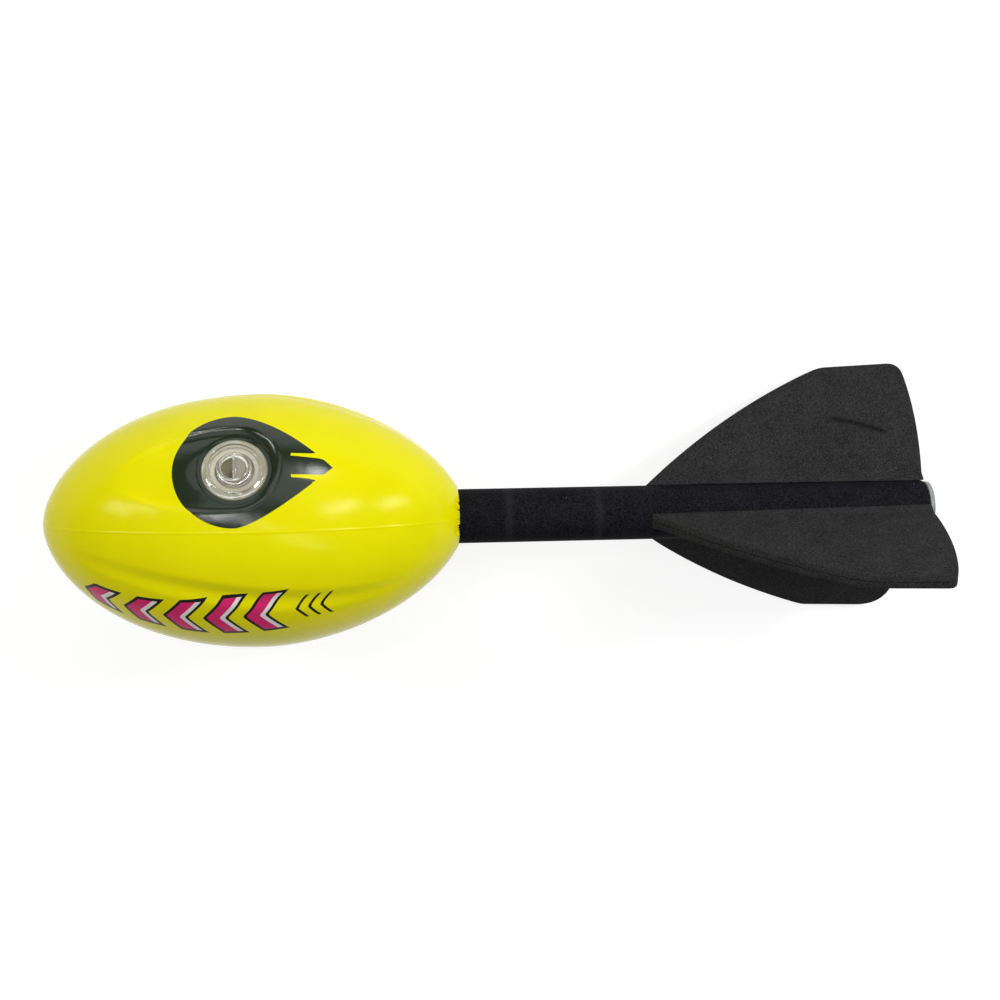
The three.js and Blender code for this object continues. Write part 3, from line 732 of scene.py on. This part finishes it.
# Moulded polypropylene: grey, waxy and slightly cloudy.
grey, place = new_material("grey_moulded_plastic")
cloudy = add_node(grey, "ShaderNodeTexNoise", {"Vector": place, "Scale": 1 / (2.5 * MM), "Detail": 4.0})
grey_tone = add_node(grey, "ShaderNodeMix", {
    0: cloudy.outputs["Fac"], 6: linear("#76787a"), 7: linear("#999a98"),
}, data_type="RGBA")
cloudy_bump = add_node(grey, "ShaderNodeBump", {
    "Height": cloudy.outputs["Fac"], "Strength": 0.2, "Distance": 0.1 * MM,
})
grey_shader = add_node(grey, "ShaderNodeBsdfPrincipled", {
    "Base Color": grey_tone.outputs[2], "Roughness": 0.45, "Normal": cloudy_bump.outputs["Normal"],
})
add_node(grey, "ShaderNodeOutputMaterial", {"Surface": grey_shader.outputs[0]})
cap.data.materials.append(grey)
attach(cap, "root")
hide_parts("tail_end_cap")

# Core tube and front plug. They are moulded plastic, hidden in the foam, and keep their own solids.
# The plug closes the tube's front end and keys it in the head.
for name in ("core_tube", "tube_front_plug"):
    inner_piece = frame["nodes"][name]
    inner_piece.data.materials.clear()
    inner_piece.data.materials.append(grey)

# Fins. Each is cut from two sheets of black foam, glued back to back, and their roots flare to a foot
# on either side, glued to the sleeve. The upright fin leans over a little, as soft foam does.
FIN_SHEET = 2.35
FIN_GLUE = 0.15
FIN_EDGE = 0.45
FIN_SEAT = SLEEVE_RADIUS + SEAT_GAP
FIN_ROOT = 103.0
FIN_SHOULDER = 36.0
FIN_TIP = 5.0
FIN_HEIGHT = 45.45
FIN_TIP_HEIGHT = FIN_HEIGHT + 1.6
FIN_FRONT_BULGE = 3.3
FOOT_FRONT, FOOT_REAR = 0.3, 1.7
FOOT_HEIGHT = 3.6
FOOT_EDGE = 0.8
SINK_FADE = 6.0
BEND_START = 6.0
FIN_LONG, FIN_HIGH = 96, 56
FIN_CROWDING = 1.6
EDGE_POINTS = 60
CORNER_HALF = 10

# One sheet has a dark scuff, which runs along a falling curve and fades at both ends.
SMUDGED = "fin_3_foam_b"
SMUDGE_FRONT, SMUDGE_LENGTH, SMUDGE_END = 207.6, 24.4, 4.0
SMUDGE_HEIGHT, SMUDGE_SLOPE, SMUDGE_CURVE = 24.9, 0.15, 0.005
SMUDGE_WIDTH, SMUDGE_STRENGTH = 0.9, 0.9


def bow(start, middle, end, count):
    """Points of the parabola that leaves its start towards the middle point and ends coming from it."""
    t = np.linspace(0, 1, count)[:, None]
    return (1 - t) ** 2 * start + 2 * t * (1 - t) * middle + t**2 * end


def bulged(start, end, bulge):
    """The point that gives a shallow bow to the left between two points its height."""
    way_on = end - start
    left = np.array([-way_on[1], way_on[0]]) / np.hypot(*way_on)
    return (start + end) / 2 + 2 * bulge * left


def even_points(path, shares):
    """Points at these shares of the length of a path."""
    run = np.concatenate([[0], np.cumsum(np.hypot(*np.diff(path, axis=0).T))])
    return np.stack([np.interp(shares * run[-1], run, path[:, k]) for k in range(2)], -1)


def fin_outline(inset, rear_bulge, shoulder_round, tip_round):
    """A fin's front edge, tip and rear edge, from its root's front, as bows that are all cut back alike."""
    front = np.array([SLEEVE_END - FIN_ROOT, 0.0])
    shoulder = np.array([SLEEVE_END - FIN_SHOULDER, FIN_HEIGHT - SEAT_GAP])
    tip = np.array([SLEEVE_END - FIN_TIP, FIN_TIP_HEIGHT - SEAT_GAP])
    rear = np.array([SLEEVE_END, 0.0])
    front_middle = bulged(front, shoulder, FIN_FRONT_BULGE)
    rear_middle = bulged(tip, rear, rear_bulge)
    into = shoulder + shoulder_round * (front_middle - shoulder) / np.hypot(*(front_middle - shoulder))
    out_of = shoulder + shoulder_round * (tip - shoulder) / np.hypot(*(tip - shoulder))
    to_tip = tip + tip_round * (shoulder - tip) / np.hypot(*(shoulder - tip))
    from_tip = tip + tip_round * (rear_middle - tip) / np.hypot(*(rear_middle - tip))
    shoulder_bow = bow(into, shoulder, out_of, 2 * CORNER_HALF + 1)
    tip_bow = bow(to_tip, tip, from_tip, 2 * CORNER_HALF + 1)
    sides = [
        np.concatenate([bow(front, front_middle, into, EDGE_POINTS), shoulder_bow[1:CORNER_HALF + 1]]),
        np.concatenate([shoulder_bow[CORNER_HALF:], tip_bow[:CORNER_HALF + 1]]),
        np.concatenate([tip_bow[CORNER_HALF:], bow(from_tip, rear_middle, rear, EDGE_POINTS)[1:]]),
    ]
    whole = np.concatenate([sides[0], sides[1][1:], sides[2][1:]])
    way_on = np.gradient(whole, axis=0)
    inward = np.stack([way_on[:, 1], -way_on[:, 0]], -1) / np.hypot(*way_on.T)[:, None]
    whole = whole + inset * inward
    first, second = len(sides[0]), len(sides[0]) + len(sides[1]) - 1
    return whole[:first], whole[first - 1:second], whole[second - 1:]


def fin_grid(inset, *outline):
    """What the root and tip give each point, plus what the two edges give, less the corners' share."""
    front, tip, rear = fin_outline(inset, *outline)
    u = np.linspace(0, 1, FIN_LONG)
    v = np.linspace(0, 1, FIN_HIGH) ** FIN_CROWDING
    root_side = front[0] + u[:, None] * (rear[-1] - front[0])
    front_side = even_points(front, v)[None]
    rear_side = even_points(rear[::-1], v)[None]
    tip_side = even_points(tip, u)[:, None]
    root_side = root_side[:, None]
    u, v = u[:, None, None], v[None, :, None]
    corners = ((1 - u) * (1 - v) * front[0] + u * (1 - v) * rear[-1]
               + (1 - u) * v * tip[0] + u * v * tip[-1])
    return (1 - v) * root_side + v * tip_side + (1 - u) * front_side + u * rear_side - corners


def fin_sheet(name, turn, hand, lean, height_share, *outline):
    """One sheet of a fin, with a round outer edge, a flat glued face and a foot, leaned over sideways."""
    outer_face = fin_grid(FIN_EDGE, *outline)
    glued_face = fin_grid(0.0, *outline)
    outer_face[:, 0, 1] = 0.0
    loop = np.concatenate([
        np.arange(FIN_LONG - 1) * FIN_HIGH,
        (FIN_LONG - 1) * FIN_HIGH + np.arange(FIN_HIGH - 1),
        np.arange(FIN_LONG - 1, 0, -1) * FIN_HIGH + FIN_HIGH - 1,
        np.arange(FIN_HIGH - 1, 0, -1),
    ])
    outer, glued = outer_face.reshape(-1, 2), glued_face.reshape(-1, 2)
    edge_share = 1 - math.sqrt(0.5)
    eased = glued[loop] + edge_share * (outer[loop] - glued[loop])
    flat = np.concatenate([outer, eased, glued[loop], glued])
    thick = np.concatenate([
        np.full(len(outer), FIN_GLUE + FIN_SHEET),
        np.full(len(loop), FIN_GLUE + FIN_SHEET - FIN_EDGE * edge_share),
        np.full(len(loop), FIN_GLUE + FIN_SHEET - FIN_EDGE),
        np.full(len(glued), FIN_GLUE),
    ])
    along, height = flat.T
    foot_share = (along - SLEEVE_END + FIN_ROOT) / FIN_ROOT
    foot_rise = np.clip((height - FOOT_EDGE) / (FOOT_HEIGHT - FOOT_EDGE), 0, 1)
    foot = (FOOT_FRONT + (FOOT_REAR - FOOT_FRONT) * foot_share) * (1 - foot_rise) ** 2
    thick = np.where(thick > FIN_GLUE, thick + foot, thick)
    sink = FIN_SEAT - np.sqrt(FIN_SEAT**2 - thick**2)
    out = FIN_SEAT + height * height_share - sink * np.clip(1 - height / SINK_FADE, 0, 1)
    bend = math.tan(lean) * height * (1 - np.exp(-height / BEND_START))
    points = place_at(along, out - bend * math.tan(lean / 2), bend + hand * thick, turn)
    first = len(outer)
    second, third = first + len(loop), first + 2 * len(loop)
    rings = [loop, first + np.arange(len(loop)), second + np.arange(len(loop)), third + loop]
    i = np.arange(FIN_LONG - 1)[:, None] * FIN_HIGH
    j = np.arange(FIN_HIGH - 1)[None]
    cell = np.stack([i + j, i + j + 1, i + FIN_HIGH + j + 1, i + FIN_HIGH + j], -1).reshape(-1, 4)
    quads = [cell, third + cell[:, ::-1]]
    quads += [np.stack([a, np.roll(a, -1), np.roll(b, -1), b], -1) for a, b in zip(rings, rings[1:])]
    smudge_run = along - SMUDGE_FRONT
    smudge_off = height - SMUDGE_HEIGHT + SMUDGE_SLOPE * smudge_run + SMUDGE_CURVE * smudge_run**2
    smudge_fade = np.clip(np.minimum(smudge_run, SMUDGE_LENGTH - smudge_run) / SMUDGE_END, 0, 1)
    smudge = -SMUDGE_STRENGTH * smudge_fade * np.exp(-((smudge_off / SMUDGE_WIDTH) ** 2))
    smudge = smudge * (name == SMUDGED)
    return make_piece(name, points, np.concatenate(quads), fields={"scuff_and_painted_sheen": smudge})


# Each fin's turn and lean in degrees, and the share of the full height that it stands, then the bulge
# of its rear edge and the rounds of its shoulder and tip.
FINS = [
    (0, 9.0, 1.02, 2.6, 5.0, 3.2),
    (120, 0.37, 0.989, 1.8, 1.5, 9.0),
    (-120, -1.57, 0.955, 1.8, 3.0, 5.0),
]
fin_foam = cell_foam("black_sheet_foam", "#202020", "#363636", 0.6)
for number, (turn, lean, height_share, *outline) in enumerate(FINS, 1):
    for letter, hand in (("a", -1), ("b", 1)):
        sheet = fin_sheet(f"fin_{number}_foam_{letter}", math.radians(turn), hand,
                          math.radians(lean), height_share, *outline)
        sheet.data.materials.append(fin_foam)
        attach(sheet, "root")
        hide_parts(f"fin_{number}_sheet_{letter}")

# Studio. A white floor under the toy, a large soft lamp over it, and small ones for the spots of
# light on its skin. The floor and the world look white, but light the toy no more than plain paper
# and a dim room do.
FLOOR_HALF = 6.0
FLOOR_BOUNCE, FLOOR_SEEN, FLOOR_GLOW = 0.75, 0.4, 0.76
SKY_LIGHT = 0.26
floor_mesh = bpy.data.meshes.new("floor")
floor_corners = [(FLOOR_HALF * x, FLOOR_HALF * y, 0) for x, y in ((-1, -1), (1, -1), (1, 1), (-1, 1))]
floor_mesh.from_pydata(floor_corners, [], [(0, 1, 2, 3)])
floor = bpy.data.objects.new("floor", floor_mesh)
bpy.context.scene.collection.objects.link(floor)
paper = new_material("white_paper")[0]
paper_seen = add_node(paper, "ShaderNodeLightPath", {})
plainly = add_node(paper, "ShaderNodeMath", {
    0: paper_seen.outputs["Is Camera Ray"], 1: paper_seen.outputs["Is Glossy Ray"],
}, operation="ADD")
anyhow = add_node(paper, "ShaderNodeMath", {
    0: plainly.outputs[0], 1: paper_seen.outputs["Is Transmission Ray"],
}, operation="ADD", use_clamp=True)
paper_tone = add_node(paper, "ShaderNodeMix", {
    0: anyhow.outputs[0], 6: [*[FLOOR_BOUNCE] * 3, 1.0], 7: [*[FLOOR_SEEN] * 3, 1.0],
}, data_type="RGBA")
paper_shade = add_node(paper, "ShaderNodeBsdfDiffuse", {"Color": paper_tone.outputs[2]})
paper_glow = add_node(paper, "ShaderNodeMath", {
    0: anyhow.outputs[0], 1: FLOOR_GLOW,
}, operation="MULTIPLY")
paper_white = add_node(paper, "ShaderNodeEmission", {"Strength": paper_glow.outputs[0]})
paper_sum = add_node(paper, "ShaderNodeAddShader", {0: paper_shade.outputs[0], 1: paper_white.outputs[0]})
add_node(paper, "ShaderNodeOutputMaterial", {"Surface": paper_sum.outputs[0]})
floor.data.materials.append(paper)

world = bpy.data.worlds.new("studio")
bpy.context.scene.world = world
world.use_nodes = True
sky = world.node_tree.nodes["Background"]
sky.inputs["Color"].default_value = (1.0, 1.0, 1.0, 1.0)
sky_seen = add_node(world, "ShaderNodeLightPath", {})
sky_clear = add_node(world, "ShaderNodeMath", {
    0: sky_seen.outputs["Is Camera Ray"], 1: sky_seen.outputs["Is Transmission Ray"],
}, operation="ADD", use_clamp=True)
sky_glow = add_node(world, "ShaderNodeMath", {
    0: sky_clear.outputs[0], 1: 1 - SKY_LIGHT, 2: SKY_LIGHT,
}, operation="MULTIPLY_ADD")
world.node_tree.links.new(sky_glow.outputs[0], sky.inputs["Strength"])

VIEW_TURN = math.radians(-20)
HEAD_MIDDLE = place_at(0.0, 0.0)


def in_view(azimuth, elevation, distance):
    """A place round the head, turned from the viewer to the tail and raised to the picture's top."""
    azimuth, elevation = math.radians(azimuth), math.radians(elevation)
    ahead = distance * math.cos(elevation) * math.cos(azimuth)
    along = distance * math.cos(elevation) * math.sin(azimuth)
    return place_at(along, ahead, -distance * math.sin(elevation), VIEW_TURN)


# Each lamp's azimuth and elevation in degrees, its distance, width and height in millimetres, and its
# power in watts.
LAMPS = [
    ("key_light", 5, 34, 1400, 1200, 950, 3.5),
    ("softbox_left", -60, 13, 900, 100, 220, 0.95),
    ("softbox_near_left", -46, 12, 900, 70, 200, 0.65),
    ("softbox_middle", -15, 6, 900, 150, 40, 0.6),
    ("softbox_near_right", 36, 10, 900, 100, 220, 1.7),
    ("softbox_right", 61, 13, 900, 80, 220, 1.25),
    ("softbox_high", 32, 41, 900, 80, 100, 0.7),
    ("softbox_low", 8, -10, 900, 900, 60, 1.3),
]
for name, azimuth, elevation, distance, width, height, power in LAMPS:
    light = bpy.data.lights.new(name, "AREA")
    light.shape = "RECTANGLE"
    light.size, light.size_y = width * MM, height * MM
    light.energy = power
    lamp = bpy.data.objects.new(name, light)
    bpy.context.scene.collection.objects.link(lamp)
    place = in_view(azimuth, elevation, distance)
    back = (place - HEAD_MIDDLE) / np.linalg.norm(place - HEAD_MIDDLE)
    right = np.cross(upward, back)
    right = right / np.linalg.norm(right)
    turned_to = np.stack([right, np.cross(back, right), back], 1)
    lamp.matrix_world = Matrix.Translation(place) @ Matrix(turned_to.tolist()).to_4x4()

# Camera. It looks down at the toy from 70 cm, a little from the nose's side. Its eye and aim are
# places along the toy's line, out from it and square to both.
LENS = 70.25
SENSOR = 36.0
CAMERA_ROLL = math.radians(1.22)
EYE = (9.36, 700.0, 2.8)
AIM = (85.63, 0.0, -5.53)
eye = place_at(*EYE, VIEW_TURN)
aim = place_at(*AIM, VIEW_TURN)
picture_up = (place_at(0.0, 0.0, -1.0, VIEW_TURN) - place_at(0.0, 0.0)) / MM
ahead = (aim - eye) / np.linalg.norm(aim - eye)
level_right = np.cross(ahead, picture_up)
level_right = level_right / np.linalg.norm(level_right)
level_up = np.cross(level_right, ahead)
right = math.cos(CAMERA_ROLL) * level_right - math.sin(CAMERA_ROLL) * level_up
over = math.sin(CAMERA_ROLL) * level_right + math.cos(CAMERA_ROLL) * level_up
camera_data = bpy.data.cameras.new("camera")
camera_data.lens = LENS
camera_data.sensor_width = SENSOR
camera = bpy.data.objects.new("camera", camera_data)
bpy.context.scene.collection.objects.link(camera)
turned_to = np.stack([right, over, -ahead], 1)
camera.matrix_world = Matrix.Translation(eye) @ Matrix(turned_to.tolist()).to_4x4()
bpy.context.scene.camera = camera
bpy.context.scene.view_settings.view_transform = "Standard"
